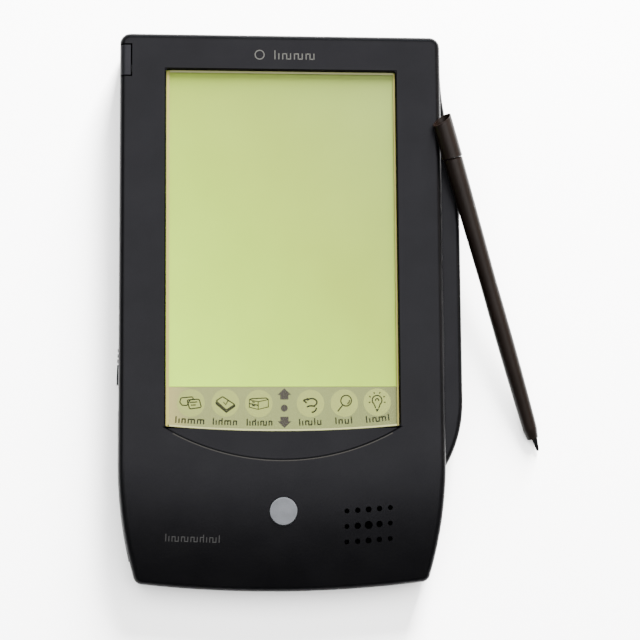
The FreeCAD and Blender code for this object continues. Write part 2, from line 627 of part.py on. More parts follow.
def stylus():
    """Nib, barrel and cap, each turned about the stylus's axis and then laid at the lean."""
    nib = turned("nib_turned", [("0", "0", None), ("nib_tip - 0.2", "0.05", None), ("nib_tip", "0.4", None),
                                ("nib_radius", "nib_length", None), ("0", "nib_length", None)])
    barrel = turned("barrel_turned", [
        ("0", "nib_length", None), ("barrel_low_radius", "nib_length", None),
        ("barrel_neck_radius", "barrel_neck", "barrel_bulge"), ("barrel_belly_radius", "barrel_belly", None),
        ("barrel_end_radius", "barrel_end - 0.3", None), ("barrel_end_radius - 0.3", "barrel_end", None),
        ("0", "barrel_end", None)])
    cap = turned("cap_turned", [
        ("0", "barrel_end + 0.1", None), ("cap_radius - 0.25", "barrel_end + 0.1", None),
        ("cap_radius", "barrel_end + 0.4", None), ("cap_radius", "cap_end + 4", None),
        ("0", "cap_end + 4", None)])
    cup = turned("cap_cup", [
        ("0", "cap_end - cap_cup_depth", "cap_cup_arc"), ("cap_cup_radius", "cap_end - cap_cup_edge", None),
        ("cap_cup_radius", "cap_end + 5", None), ("0", "cap_end + 5", None)])
    tilt = Rotation(Vector(0, 0, 1), Vector(-value("cap_slope_side"), -value("cap_slope_face"), 1))
    reach = value("cap_cutter / 2")
    corner = tilt.multVec(Vector(-reach, -reach, 0))
    slope = block("cap_slope", (f"{corner.x}", f"{corner.x} + cap_cutter"),
                  (f"{corner.y}", f"{corner.y} + cap_cutter"),
                  (f"cap_end + {corner.z}", f"cap_end + {corner.z} + cap_cutter / 2"))
    slope.Placement = Placement(slope.Placement.Base, tilt)
    cap_cut = cut("stylus_cap_part", cap, [slope, cup])
    doc.recompute()
    nib.Placement = lean().multiply(Placement(Vector(value("nib_offset"), 0, 0), Rotation()))
    keep("stylus_nib", nib)
    barrel.Placement = lean()
    keep("stylus_barrel", barrel)
    cap_cut.Placement = lean()
    keep("stylus_cap", cap_cut)


# ---- Display ----

def display():
    keep("touch_panel", plate("touch_panel_body", lambda sk: add_rectangle(
        sk, ("-panel_half", "panel_half"), ("panel_bottom", "panel_top")),
        "cover_ceiling - gasket_thickness - panel_thickness", "cover_ceiling - gasket_thickness"))
    top = "cover_ceiling - gasket_thickness - panel_thickness - display_gap"
    keep("lcd_glass", plate("lcd_glass_body", lambda sk: add_rectangle(
        sk, ("-glass_half", "glass_half"), ("strip_top + 0.05", "glass_top")), f"{top} - glass_thickness", top))
    keep("icon_strip", plate("icon_strip_body", lambda sk: add_rectangle(
        sk, ("-glass_half", "glass_half"), ("strip_bottom", "strip_top - 0.05")), f"{top} - glass_thickness", top))
    keep("lcd_reflector", plate("lcd_reflector_body", lambda sk: add_rectangle(
        sk, ("-glass_half", "glass_half"), ("strip_top", "glass_top")),
        f"{top} - glass_thickness - reflector_thickness", f"{top} - glass_thickness"))
    display_gasket()
    display_frame()


def display_gasket():
    """Dark ring between the touch panel and the front cover, just inside the window's edge."""
    outer = block("gasket_outer", ("-panel_half", "panel_half"), ("panel_bottom", "panel_top"),
                  ("cover_ceiling - gasket_thickness", "cover_ceiling"))
    inner = plate("gasket_inner", lambda sk: add_loop(sk, [
        ("-window_half + gasket_lap", "window_bottom - gasket_lap", "window_arc"),
        ("window_half - gasket_lap", "window_bottom - gasket_lap", None),
        ("window_half - gasket_lap", "window_top - gasket_lap", None),
        ("-window_half + gasket_lap", "window_top - gasket_lap", None)]), "cover_ceiling - 1", "cover_ceiling + 1")
    keep("display_gasket", cut("display_gasket_part", outer, [inner]))


def display_frame():
    outer = block("frame_outer", ("-frame_half", "frame_half"), ("frame_bottom", "frame_top"),
                  ("frame_base", "cover_ceiling - 0.05"))
    pocket = block("frame_pocket", ("-frame_pocket_half", "frame_pocket_half"),
                   ("frame_pocket_bottom", "frame_pocket_top"), ("frame_floor", "cover_ceiling + 1"))
    windows = [block("frame_lightening", (f"{x} - 15", f"{x} + 15"), (f"{y} - 14", f"{y} + 14"),
                     ("frame_base - 1", "frame_floor + 1")) for x in (-19, 19) for y in (-6, 30, 60)]
    keep("lcd_frame", cut("lcd_frame_part", outer, [pocket, *windows]))
    keep("lcd_driver_board", block("lcd_driver_board_block", ("-30", "30"), ("14", "18"),
                                   ("12", "frame_base - 0.1")))
    keep("display_flex", block("display_flex_block", ("-8", "8"), ("18.1", "18.4"),
                               ("board_base + board_thickness", "frame_base - 0.3")))


# ---- Speaker and badge ----

def speaker():
    top = "chin_ceiling_two"
    mesh_base = f"{top} - speaker_mesh_thickness"
    gasket_base = f"{mesh_base} - speaker_gasket_height"
    keep("speaker_mesh", rod("mesh_disc", "speaker_x", "speaker_y", mesh_base, "speaker_radius",
                             "speaker_mesh_thickness"))
    keep("speaker_gasket", cut("speaker_gasket_part", rod(
        "gasket_disc", "speaker_x", "speaker_y", gasket_base, "speaker_radius", "speaker_gasket_height"),
        [rod("gasket_hole", "speaker_x", "speaker_y", f"{gasket_base} - 1", "speaker_radius - 1.6", "3")]))
    frame = turned("speaker_turned", [
        ("0", "0", None), ("4.4", "0", None), ("4.4", "1", None), ("speaker_radius - 0.6", "1.9", None),
        ("speaker_radius", "1.9", None), ("speaker_radius", "speaker_height", None),
        ("speaker_radius - 1.2", "speaker_height", None), ("3", "1.5", None), ("0", "1.9", None)])
    place(frame, "speaker_x", "speaker_y", f"{gasket_base} - speaker_height")
    keep("speaker", frame)


def badge():
    """Plain round inlay on the chin."""
    keep("badge", round_edges("badge_part", badge_tool("badge_disc", "0", "badge_height"), "0.3",
                              lambda e: e.BoundBox.ZMin > value("case_height") - 1.4 and e.Length > 20))


# ---- Battery compartment ----

def cell_places():
    return [f"cell_first + {i} * cell_pitch" for i in range(4)]


def batteries():
    cells, springs, contacts = [], [], []
    for i, x in enumerate(cell_places()):
        can = rod("cell_can", x, "cell_low_end", "cell_axis_height", "cell_radius - 0.02",
                  "cell_length - cell_button", "Y")
        low = i % 2 == 0
        button_y = "cell_low_end + cell_length - cell_button" if low else "cell_low_end - cell_button"
        button = rod("cell_button_disc", x, button_y, "cell_axis_height", "cell_button_radius", "cell_button", "Y")
        cells.append(join("cell", [can, button]))
        spring_y = "tray_low + tray_wall + 0.3" if low else "cell_low_end + cell_length - cell_button"
        reach = "cell_low_end - (tray_low + tray_wall + 0.3)" if low else \
            "tray_high - tray_wall - 0.3 - (cell_low_end + cell_length - cell_button)"
        radii = ("4", "2.6") if low else ("2.6", "4")
        cone = taper("spring_cone", x, spring_y, "cell_axis_height", radii, reach, "Y")
        core = taper("spring_core", x, f"{spring_y} - 0.1", "cell_axis_height", ("2", "2"), f"{reach} + 0.2", "Y")
        springs.append(cut("battery_spring", cone, [core]))
        for y in ("tray_low + tray_wall", "tray_high - tray_wall - 0.3"):
            contacts.append(block("contact_plate", (f"{x} - 4.4", f"{x} + 4.4"), (y, f"{y} + 0.3"), ("3", "11.4")))
    keep("aaa_cells", group("cell_group", cells))
    keep("battery_springs", group("spring_group", springs))
    keep("battery_contacts", group("contact_group", contacts))
    tray = block("tray_outer", ("tray_left", "tray_right"), ("tray_low", "tray_high"), ("tray_base", "tray_roof"))
    room = block("tray_room", ("tray_left + tray_wall", "tray_right - tray_wall"),
                 ("tray_low + tray_wall", "tray_high - tray_wall"), ("tray_base - 1", "tray_roof - tray_wall"))
    keep("battery_tray", cut("battery_tray_part", tray, [room]))


def coin_cell():
    keep("coin_cell", rod("coin_cell_disc", "-34", "67", "3", "10", "3.2"))
    ring = rod("coin_ring", "-34", "67", "1.9", "10.9", "3.4")
    keep("coin_cell_holder", cut("coin_cell_holder_part", ring, [
        rod("coin_room", "-34", "67", "2.9", "10.1", "5"),
        block("coin_finger_gap", ("-37", "-31"), ("50", "60"), ("2.9", "8"))]))


# ---- Electronics ----

def board_screw_places():
    return [("board_screw_left", "-27"), ("board_screw_x", "-27"),
            ("board_screw_left", "38"), ("board_screw_x", "84.5")]


def main_board():
    board = block("board_blank", ("board_left", "board_right"), ("board_low", "board_high"),
                  ("board_base", "board_base + board_thickness"))
    holes = [rod("board_hole", x, y, "board_base - 1", "1.1", "4") for x, y in board_screw_places()]
    keep("main_board", cut("main_board_part", board, holes))
    screws = []
    for x, y in board_screw_places():
        screws.append(join("board_screw", [rod("board_shank", x, y, "board_base - 3", "0.8", "4.3"),
                                           rod("board_head", x, y, "board_base + board_thickness", "1.6", "0.8")]))
    keep("board_screws", group("board_screw_group", screws))


def chip(name, x, y, width, length, height, legs=0):
    """A chip on the board's upper side, with rows of legs on its long sides."""
    base = "board_base + board_thickness"
    body = block(name + "_case", (f"{x} - {width / 2}", f"{x} + {width / 2}"),
                 (f"{y} - {length / 2}", f"{y} + {length / 2}"), (f"{base} + 0.1", f"{base} + {height}"))
    pieces = [body]
    for i in range(legs):
        offset = (i - (legs - 1) / 2) * length / legs
        pieces.append(block(name + "_leg", (f"{x} - {width / 2 + 0.8}", f"{x} + {width / 2 + 0.8}"),
                            (f"{y} + {offset - 0.2}", f"{y} + {offset + 0.2}"), (base, f"{base} + 0.35")))
    return join(name, pieces)


def electronics():
    keep("processor_chip", chip("processor", 2, 40, 20, 20, 1.4, 12))
    keep("rom_chips", group("rom_group", [chip("rom", -24, y, 12, 16, 1.3, 10) for y in (30, 52)]))
    keep("ram_chips", group("ram_group", [chip("ram", x, -8, 8, 16, 1.2, 10) for x in (-26, -12, 2, 16)]))
    interfaces = [chip("interface", 27, y, 10, 10, 1.2, 8) for y in (30, 48, 66)]
    keep("interface_chips", group("interface_group", interfaces))
    base = "board_base + board_thickness"
    crystals = [rod("crystal", str(x), "62", f"{base} + 1", "1", "6", "Y") for x in (-4, 6)]
    keep("crystals", group("crystal_group", crystals))
    capacitors = [rod("capacitor", str(x), str(y), base, "1.25", "1.3")
                  for x in (-34, 34) for y in (-18, -12, 0, 6)]
    keep("capacitors", group("capacitor_group", capacitors))


# ---- Card bay ----

def card_bay():
    cage = block("cage_blank", ("cage_left", "cage_right"), ("cage_back", "cage_front"), ("cage_base", "cage_top"))
    room = block("cage_room", ("cage_left + cage_rail", "cage_right - cage_rail"),
                 ("cage_back - 1", "cage_front + 1"),
                 ("cage_base + cage_sheet", "cage_top - cage_roof"))
    keep("card_cage", cut("card_cage_part", cage, [room]))
    keep("card_header", block("card_header_block", ("cage_left", "cage_right"), ("-1", "cage_back - 0.05"),
                              ("cage_base", "cage_top")))
    pins = [rod("header_pin", f"6 + {(i - 16.5) * 1.27}", "cage_back - 0.05", str(z), "0.22", "4.5", "Y")
            for i in range(34) for z in (5.6, 6.9)]
    keep("card_header_pins", group("header_pin_group", pins))


def card_flap():
    """Spring-loaded flap in the card's mouth; it turns inwards about a pin along its lower edge."""
    leaf = block("flap_leaf", ("slot_left + 0.3", "slot_right - 0.3"), ("flap_axis_y - 0.1", "flap_axis_y + 0.9"),
                 ("flap_axis_z", "flap_high"))
    barrel = rod("flap_barrel_rod", "slot_left + 0.3", "flap_axis_y", "flap_axis_z", "flap_barrel",
                 "slot_right - slot_left - 0.6", "X")
    bore = rod("flap_bore_rod", "slot_left - 1", "flap_axis_y", "flap_axis_z", "flap_bore",
               "slot_right - slot_left + 2", "X")
    notch = block("flap_notch", ("3.5", "8.5"), ("flap_axis_y - 2", "flap_axis_y + 2"),
                  ("flap_axis_z - 2", "flap_axis_z + 1.4"))
    keep("card_slot_flap", cut("card_slot_flap_part", join("flap_blank", [leaf, barrel]), [bore, notch]))
    keep("flap_pin", rod("flap_pin_rod", "slot_left - 2.4", "flap_axis_y", "flap_axis_z", "flap_pin",
                         "slot_right - slot_left + 4.8", "X"))
    coil = rod("spring_coil", "4", "flap_axis_y", "flap_axis_z", "flap_barrel", "4", "X")
    inside = rod("spring_inside", "3", "flap_axis_y", "flap_axis_z", "flap_bore", "6", "X")
    keep("flap_spring", cut("flap_spring_part", coil, [inside]))


def eject_button():
    """Key at the top left corner that wraps from the face onto the side, with a stem to the latch lever."""
    key = block("key_blank", ("-case_half_width", "eject_inner"), ("eject_low", "eject_high"),
                ("eject_base", "case_height"))
    key = round_edges("key_rounded", key, "front_edge", lambda e: e.BoundBox.XMax < -value("case_half_width") + 0.1
                      and at_height(e, "case_height"))
    stem = block("key_stem", ("-51.3", "-50.1"), ("lever_y - 1.2", "lever_y + 1.2"), ("8.1", "eject_base + 0.5"))
    keep("card_eject_button", join("card_eject_button_part", [key, stem]))
    arm = block("lever_arm", ("-51.2", "-23.4"), ("lever_y - lever_half_width", "lever_y + lever_half_width"),
                ("lever_axis_z - 0.5", "lever_axis_z + 0.5"))
    hub = rod("lever_hub", "lever_axis_x", "lever_y - lever_half_width", "lever_axis_z", "1.2",
              "2 * lever_half_width", "Y")
    bore = rod("lever_bore_rod", "lever_axis_x", "lever_y - 3", "lever_axis_z", "lever_bore", "6", "Y")
    keep("card_latch_lever", cut("card_latch_lever_part", join("lever_blank", [arm, hub]), [bore]))
    keep("latch_pin", rod("latch_pin_rod", "lever_axis_x", "lever_y - 3.4", "lever_axis_z", "lever_pin",
                          "6.8", "Y"))


# ---- Controls and sockets on the left side and the edges ----

def power_switch():
    """Sliding thumb piece: a ramp with ridges outside, a neck through the slot, a carriage inside."""
    half = "switch_length / 2"
    cap = block("thumb_cap", ("-case_half_width - switch_proud", "-case_half_width - 0.12"),
                (f"switch_y - {half}", f"switch_y + {half}"), ("5.3", "9.1"))
    slope = block("thumb_slope", ("-case_half_width - switch_proud - 3", "-case_half_width - switch_proud"),
                  ("switch_y - 4", "switch_y + 10"), ("4", "10"))
    slope.Placement = Placement(slope.Placement.Base, Rotation(Vector(0, 0, 1), -value("switch_ramp")))
    ridges = [block("thumb_groove", ("-case_half_width - 2", "-case_half_width - 0.2"),
                    (f"switch_y + {0.6 + 1.8 * i}", f"switch_y + {1.4 + 1.8 * i}"), ("4", "10")) for i in range(3)]
    neck = block("thumb_neck", ("-case_half_width - 0.3", "-51"), ("switch_y - 2.6", "switch_y + 2.6"),
                 ("6.3", "8.1"))
    carriage = block("thumb_carriage", ("-51.3", "-49.9"), ("switch_y - 3.7", "switch_y + 3.7"), ("5.3", "9.1"))
    shaped = cut("thumb_shaped", cap, [slope, *ridges])
    keep("power_slider", join("power_slider_part", [shaped, neck, carriage]))
    body = block("switch_body", ("-49.4", "-44"), ("switch_y - 9", "switch_y + 8"), ("3.4", "board_base - 0.1"))
    keep("power_switch", body)


def contrast_dial():
    disc = new_body("dial_disc")
    sketch = new_sketch(disc, "XY_Plane", "dial_base")
    add_circle(sketch, "dial_x", "dial_y", "dial_radius")
    add_feature(disc, "Pad", sketch, "dial_height")
    notches = [rod("dial_notch", f"dial_x + dial_radius * {math.cos(math.radians(a)):.5f}",
                   f"dial_y + dial_radius * {math.sin(math.radians(a)):.5f}", "dial_base - 1", "0.22",
                   "dial_height + 2") for a in range(0, 360, 12)]
    bore = rod("dial_bore_rod", "dial_x", "dial_y", "dial_base - 1", "dial_bore", "dial_height + 2")
    keep("contrast_dial", cut("contrast_dial_part", disc, [*notches, bore]))
    housing = rod("pot_body", "dial_x + 0.6", "dial_y", "2.2", "3.6", "dial_base - 0.3 - 2.2")
    shaft = rod("pot_shaft", "dial_x", "dial_y", "dial_base - 0.5", "dial_shaft", "dial_height + 0.6")
    keep("contrast_potentiometer", join("contrast_potentiometer_part", [housing, shaft]))


def sockets():
    serial = block("serial_case", ("socket_face", "socket_back"), ("serial_y - 6.6", "serial_y + 6.6"),
                   ("serial_z - 5.9", "serial_z + 3.4"))
    lid = block("serial_lid", ("socket_face", "socket_back - 0.8"), ("serial_y - 6.6", "serial_y + 6.6"),
                ("serial_z + 3.3", "serial_z + 5.9"))
    bore = rod("serial_bore_rod", "socket_face - 1", "serial_y", "serial_z", "serial_bore",
               "serial_depth + 1", "X")
    keep("serial_port", cut("serial_port_part", join("serial_blank", [serial, lid]), [bore]))
    spots = [(-2.6, 1.2), (0, 1.9), (2.6, 1.2), (-2.8, -0.9), (0, -0.6), (2.8, -0.9), (-1.4, -2.8), (1.4, -2.8)]
    pins = [rod("serial_pin", "socket_face + 1.5", f"serial_y + {y}", f"serial_z + {z}", "0.32",
                "serial_depth - 1.5", "X") for y, z in spots]
    keep("serial_port_pins", group("serial_pin_group", pins))
    jack = block("jack_case", ("socket_face", "socket_back"), ("jack_y - 4.2", "jack_y + 4.2"),
                 ("floor_thickness + 0.1", "jack_z + 4.2"))
    hollow = rod("jack_bore_rod", "socket_face - 1", "jack_y", "jack_z", "jack_bore", "jack_depth + 1", "X")
    keep("power_jack", cut("power_jack_part", jack, [hollow]))
    keep("power_jack_pin", rod("jack_pin_rod", "socket_face + 3.5", "jack_y", "jack_z", "0.65",
                               "jack_depth - 3.5", "X"))


def infrared():
    keep("infrared_window", block("infrared_window_block", ("37.6", "48.4"), ("90.5", "91.85"), ("4.5", "8.9")))
    base = block("infrared_base", ("41.8", "46.8"), ("86.2", "89"), ("4.6", "9"))
    domes = [rod("infrared_dome", str(x), "88.5", "6.8", "1.1", "1.8", "Y") for x in (43, 45.6)]
    keep("infrared_transceiver", join("infrared_transceiver_part", [base, *domes]))


def reset():
    stem = rod("reset_stem", "board_screw_x", "reset_y", "0.5", "reset_radius", "7.3")
    collar = rod("reset_collar", "board_screw_x", "reset_y", "2.2", "2", "0.8")
    keep("reset_button", join("reset_button_part", [stem, collar]))
    keep("reset_switch", block("reset_switch_block", ("board_screw_x - 2", "board_screw_x + 2"),
                               ("reset_y - 3", "reset_y + 3"), ("7.9 + reset_travel", "board_base - 0.02")))


# ---- The whole device ----

def build():
    rear_blank = case_blank("rear_blank", "0", "split_height")
    dress(rear_blank, "Fillet", "rear_edge", lambda e: at_height(e, "0"))
    dress(rear_blank, "Chamfer", "seam_break", lambda e: at_height(e, "split_height"))
    front_cover()
    rear_cover(rear_blank)
    battery_door(rear_blank)
    grips()
    feet()
    case_screws()
    stylus_bay()
    stylus()
    display()
    speaker()
    badge()
    batteries()
    coin_cell()
    main_board()
    electronics()
    card_bay()
    card_flap()
    eject_button()
    power_switch()
    contrast_dial()
    sockets()
    infrared()
    reset()
    doc.recompute()


def check_and_export():
    for thing in doc.Objects:
        if "Invalid" in thing.State or "Error" in thing.State:
            raise RuntimeError(f"{thing.Label} failed: {thing.State}")
    for node, thing in NODES.items():
        if thing.Shape.isNull() or not thing.Shape.isValid() or not thing.Shape.Solids:
            raise RuntimeError(f"{node} has no valid solid")
    os.makedirs("parts", exist_ok=True)
    for node, thing in NODES.items():
        thing.Shape.exportStep(f"parts/{node}.step")
        print(node, len(thing.Shape.Solids), round(thing.Shape.Volume, 2))


build()
check_and_export()
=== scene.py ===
import json
import math

import bmesh
import bpy
from mathutils import Euler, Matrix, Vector


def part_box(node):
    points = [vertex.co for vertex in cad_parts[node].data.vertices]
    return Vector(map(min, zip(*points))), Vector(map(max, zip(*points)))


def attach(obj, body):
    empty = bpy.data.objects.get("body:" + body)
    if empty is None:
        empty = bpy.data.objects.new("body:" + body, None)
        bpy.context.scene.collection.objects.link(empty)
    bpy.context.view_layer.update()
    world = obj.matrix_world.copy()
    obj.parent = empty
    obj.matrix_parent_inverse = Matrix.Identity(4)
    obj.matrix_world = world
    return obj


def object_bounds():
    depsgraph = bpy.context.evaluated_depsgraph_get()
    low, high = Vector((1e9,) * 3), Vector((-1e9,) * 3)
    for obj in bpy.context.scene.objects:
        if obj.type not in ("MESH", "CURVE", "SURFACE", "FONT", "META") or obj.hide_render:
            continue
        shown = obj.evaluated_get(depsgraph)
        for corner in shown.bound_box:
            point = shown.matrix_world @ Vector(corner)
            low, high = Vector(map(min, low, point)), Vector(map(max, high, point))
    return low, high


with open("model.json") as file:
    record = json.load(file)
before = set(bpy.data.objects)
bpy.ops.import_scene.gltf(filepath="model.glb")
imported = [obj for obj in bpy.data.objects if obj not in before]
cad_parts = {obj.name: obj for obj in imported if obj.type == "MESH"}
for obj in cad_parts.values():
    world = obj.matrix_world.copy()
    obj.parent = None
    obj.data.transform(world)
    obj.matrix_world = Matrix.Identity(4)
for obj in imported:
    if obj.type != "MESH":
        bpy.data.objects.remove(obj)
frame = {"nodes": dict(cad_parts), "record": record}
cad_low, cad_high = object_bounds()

MM = 0.001
NODES = frame["nodes"]

# Textures
BAND_PERIOD = math.tau / 20     # of a wave texture whose scale is 1
TRACE_LENGTH = 5 * MM
TRACE_PITCH = 0.8 * MM
TRACE_GAP = 0.12 * MM
TURNING_PITCH = 0.691 * MM
RIB_PITCH = 0.942 * MM
METAL_GRAIN = 0.15 * MM
FILM_ALPHA = 0.03
INK_ROUGHNESS = 0.5
SATIN = 0.34
SLATE = (0.9, 0.89, 0.98)

# Printed marks and a painted highlight, in millimetres: how far each stands off its surface, then sizes
# and places
INK_LIFT = 0.03
STRIP_INK_LIFT = 0.015
ICON_LIFT = 0.02
SPOT_LIFT = 0.01
CORNER_STEPS = 3
SPOT_RADIUS = 4.5
ARROW_X = 0.55
DOT = (0.5, -32.6, 1.15)
CAPTION_HEIGHT = 1.55
CAPTION_WIDTH = 0.46
TALL = 1.45
SIDE_TRACES = ((-37.5, 1.0), (37.8, 0.5))
TRACE_ENDS = (-38.5, 79.4)
UPPER_BORDER = ((-36.9, 79.3), (37.5, 79.3))
UPPER_BORDER_WIDTH = 0.7
LOWER_BORDER = (0, 389.8, 429.6, -95, -85)
LOWER_BORDER_WIDTH = 0.5
UPPER_WORD = (4.4, 83.4, 13.0, 2.1, "T.jj.jj.jj.", 0)
UPPER_RING = (-7.2, 84.9, 1.5, 0, 345, 23)
UPPER_WIDTH = 0.34
LOWER_WORD = (-29.4, -75.8, 17.2, 1.7, "T.jj.jj.jj.jT.jj.T", -2)
LOWER_WIDTH = 0.26
# The crescent's arc and width place a painted highlight: a light line that stands in for light caught on
# the recess rim
CRESCENT = (0, 26.38, 76.2, -118, -62, 40)
PAINTED_HIGHLIGHT_WIDTH = 0.28
ABOVE_FACE = 50

# Stage, in metres
FLOOR_HALF = 1.6
FLOOR_GAP = 0.02 * MM
WORLD_LEVEL = 0.5
CAMERA_LENS = 105
CAMERA_CLIP = 0.01
CAMERA_PLACE = (-0.0375, -0.0779, 0.6238)
CAMERA_TURN = (0.1220, -0.0811, -0.0079)


# ---- Materials ----

class Shader:
    """A node material with a principled shader, built up a layer at a time."""

    def __init__(self, name, colour, roughness, metallic=0.0, specular=0.5):
        self.material = bpy.data.materials.new(name)
        self.material.use_nodes = True
        self.tree = self.material.node_tree
        self.bsdf = self.tree.nodes["Principled BSDF"]
        self.bsdf.inputs["Base Color"].default_value = (*colour, 1)
        self.bsdf.inputs["Roughness"].default_value = roughness
        self.bsdf.inputs["Metallic"].default_value = metallic
        self.bsdf.inputs["Specular IOR Level"].default_value = specular
        self.place = self.add("TexCoord").outputs["Object"]
        self.normal = None

    def fill(self, socket, given):
        """Links an input socket to an output, or sets it to a value."""
        if isinstance(given, bpy.types.NodeSocket):
            self.tree.links.new(given, socket)
        else:
            socket.default_value = given

    def add(self, kind, **inputs):
        """A shader node with some of its inputs filled."""
        node = self.tree.nodes.new("ShaderNode" + kind)
        for name, given in inputs.items():
            self.fill(node.inputs[name.replace("_", " ")], given)
        return node

    def link(self, output, name):
        self.tree.links.new(output, self.bsdf.inputs[name])

    def along(self, axis):
        return self.add("SeparateXYZ", Vector=self.place).outputs[axis]

    def noise(self, size, detail=2.0, rough=0.5):
        """Noise with features of a given size in metres."""
        return self.add("TexNoise", Vector=self.place, Scale=1 / size, Detail=detail,
                        Roughness=rough).outputs["Fac"]

    def cells(self, size):
        return self.add("TexVoronoi", Vector=self.place, Scale=1 / size).outputs["Distance"]

    def remap(self, fac, start, end, low, high):
        return self.add("MapRange", Value=fac, From_Min=start, From_Max=end, To_Min=low,
                        To_Max=high).outputs["Result"]

    def multiply_add(self, *numbers):
        """The first number times the second, plus the third."""
        node = self.add("Math")
        node.operation = "MULTIPLY_ADD"
        for socket, number in zip(node.inputs, numbers):
            self.fill(socket, number)
        return node.outputs["Value"]

    def ramp(self, fac, stops):
        node = self.add("ValToRGB", Fac=fac)
        elements = node.color_ramp.elements
        while len(elements) < len(stops):
            elements.new(0.5)
        for element, (position, colour) in zip(elements, stops):
            element.position = position
            element.color = (*colour, 1)
        return node.outputs["Color"]

    def multiply(self, colour, by):
        """A colour times another."""
        node = self.add("Mix")
        node.data_type = "RGBA"
        node.blend_type = "MULTIPLY"
        factor, first, second = node.inputs[0], node.inputs[6], node.inputs[7]
        self.fill(factor, 1.0)
        self.fill(first, colour)
        self.fill(second, by)
        return node.outputs[2]

    def roughness(self, fac, low, high):
        self.link(self.remap(fac, 0, 1, low, high), "Roughness")

    def bump(self, height, depth):
        node = self.add("Bump", Distance=depth, Height=height)
        if self.normal is not None:
            self.tree.links.new(self.normal, node.inputs["Normal"])
        self.normal = node.outputs["Normal"]
        self.link(self.normal, "Normal")


def moulded(name, dark, light, roughness, grain=0.3 * MM, depth=0.012 * MM, specular=0.05,
            tint=(1, 1, 1)):
    """Spark-eroded moulded plastic: a fine pebble, and a faint sheen that comes and goes with handling."""
    s = Shader(name, dark, roughness, specular=specular)
    s.bsdf.inputs["Specular Tint"].default_value = (*tint, 1)
    s.link(s.ramp(s.noise(11 * MM, 4), [(0.35, dark), (0.68, light)]), "Base Color")
    s.roughness(s.noise(16 * MM, 5, 0.6), roughness - 0.07, roughness + 0.09)
    s.bump(s.cells(grain), depth)
    s.bump(s.noise(grain * 0.6, 2), depth * 0.7)
    return s.material


def satin_metal(name, colour, roughness):
    """Metal with a fine even grain and cloudy tone."""
    s = Shader(name, colour, roughness, metallic=1.0)
    shade = tuple(c * 0.78 for c in colour)
    s.link(s.ramp(s.noise(2 * MM, 4), [(0.3, shade), (0.75, colour)]), "Base Color")
    s.roughness(s.noise(METAL_GRAIN, 3, 0.6), roughness - 0.05, roughness + 0.14)
    s.bump(s.noise(METAL_GRAIN), 0.004 * MM)
    return s.material


def ink_and_painted_highlight(name, colour):
    """A printed film: ink with slight mottle. The same flat film also carries the painted highlight on the
    crescent's rim.
    """
    s = Shader(name, colour, INK_ROUGHNESS, specular=0.02)
    thin = tuple(c * 0.86 for c in colour)
    s.link(s.ramp(s.noise(0.5 * MM, 4, 0.7), [(0.3, thin), (0.7, colour)]), "Base Color")
    s.roughness(s.noise(3 * MM, 3), INK_ROUGHNESS - 0.08, INK_ROUGHNESS + 0.1)
    return s.material


def lcd_green():
    """Reflective display: cloudy yellow-green, brighter to the lower left."""
    box_low, box_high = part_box("lcd_glass")
    s = Shader("lcd_green", (0.12, 0.18, 0.02), 0.45, specular=0.02)
    down = s.remap(s.along("Y"), box_low.y, box_high.y, 1, 0)
    left = s.remap(s.along("X"), box_low.x, box_high.x, 1, 0)
    level = s.multiply_add(down, 0.55, s.remap(left, 0, 1, 0, 0.45))
    base = s.ramp(level, [(0.05, (0.08306, 0.10692, 0.02474)), (0.5, (0.11045, 0.15463, 0.01679)),
                          (0.95, (0.16347, 0.26066, 0.01679))])
    cloud = s.ramp(s.noise(22 * MM, 3), [(0.3, (0.93, 0.93, 0.9)), (0.7, (1, 1, 1))])
    s.link(s.multiply(base, cloud), "Base Color")
    return s.material


def strip_print():
    """The strip below the display: warm grey-tan, a little lighter at its left end."""
    box_low, box_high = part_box("icon_strip")
    s = Shader("strip_print", (0.08, 0.08, 0.035), 0.45, specular=0.02)
    across = s.remap(s.along("X"), box_low.x, box_high.x, 0, 1)
    base = s.ramp(across, [(0.0, (0.125, 0.105, 0.042)), (0.12, (0.070, 0.074, 0.030)),
                           (0.6, (0.065, 0.073, 0.028)), (1.0, (0.053, 0.057, 0.024))])
    mottle = s.ramp(s.noise(1.2 * MM, 4), [(0.3, (0.95, 0.95, 0.94)), (0.7, (1, 1, 1))])
    s.link(s.multiply(base, mottle), "Base Color")
    return s.material


def touch_film():
    """Clear hard-coated film over the display, faintly pebbled against glare."""
    s = Shader("touch_film", (0.1, 0.12, 0.05), 0.3, specular=0.04)
    s.bsdf.inputs["Alpha"].default_value = FILM_ALPHA
    s.bump(s.cells(0.12 * MM), 0.003 * MM)
    s.roughness(s.noise(20 * MM, 3), 0.26, 0.36)
    return s.material


def infrared_acrylic():
    s = Shader("infrared_acrylic", (0.006, 0.0005, 0.0008), 0.12, specular=0.08)
    s.bump(s.noise(3 * MM), 0.01 * MM)
    s.roughness(s.noise(4 * MM, 3), 0.06, 0.16)
    return s.material


def circuit_board():
    """Green solder mask over traces."""
    s = Shader("circuit_board", (0.012, 0.09, 0.035), 0.3)
    traces = s.add("TexBrick", Vector=s.place, Scale=1.0, Brick_Width=TRACE_LENGTH, Row_Height=TRACE_PITCH,
                   Mortar_Size=TRACE_GAP, Color1=(0.010, 0.075, 0.03, 1), Color2=(0.014, 0.10, 0.04, 1),
                   Mortar=(0.03, 0.17, 0.07, 1))
    s.link(traces.outputs["Color"], "Base Color")
    s.bump(traces.outputs["Fac"], 0.02 * MM)
    return s.material


def mesh_cloth():
    """Ribbed speaker cloth."""
    s = Shader("mesh_cloth", (0.0006, 0.0006, 0.0006), 0.85, specular=0.02)
    s.bump(s.add("TexWave", Vector=s.place, Scale=BAND_PERIOD / RIB_PITCH).outputs["Fac"], 0.05 * MM)
    dark, light = (0.0003, 0.0003, 0.0003), (0.0011, 0.0011, 0.0011)
    s.link(s.ramp(s.noise(0.4 * MM, 2), [(0.3, dark), (0.7, light)]), "Base Color")
    return s.material


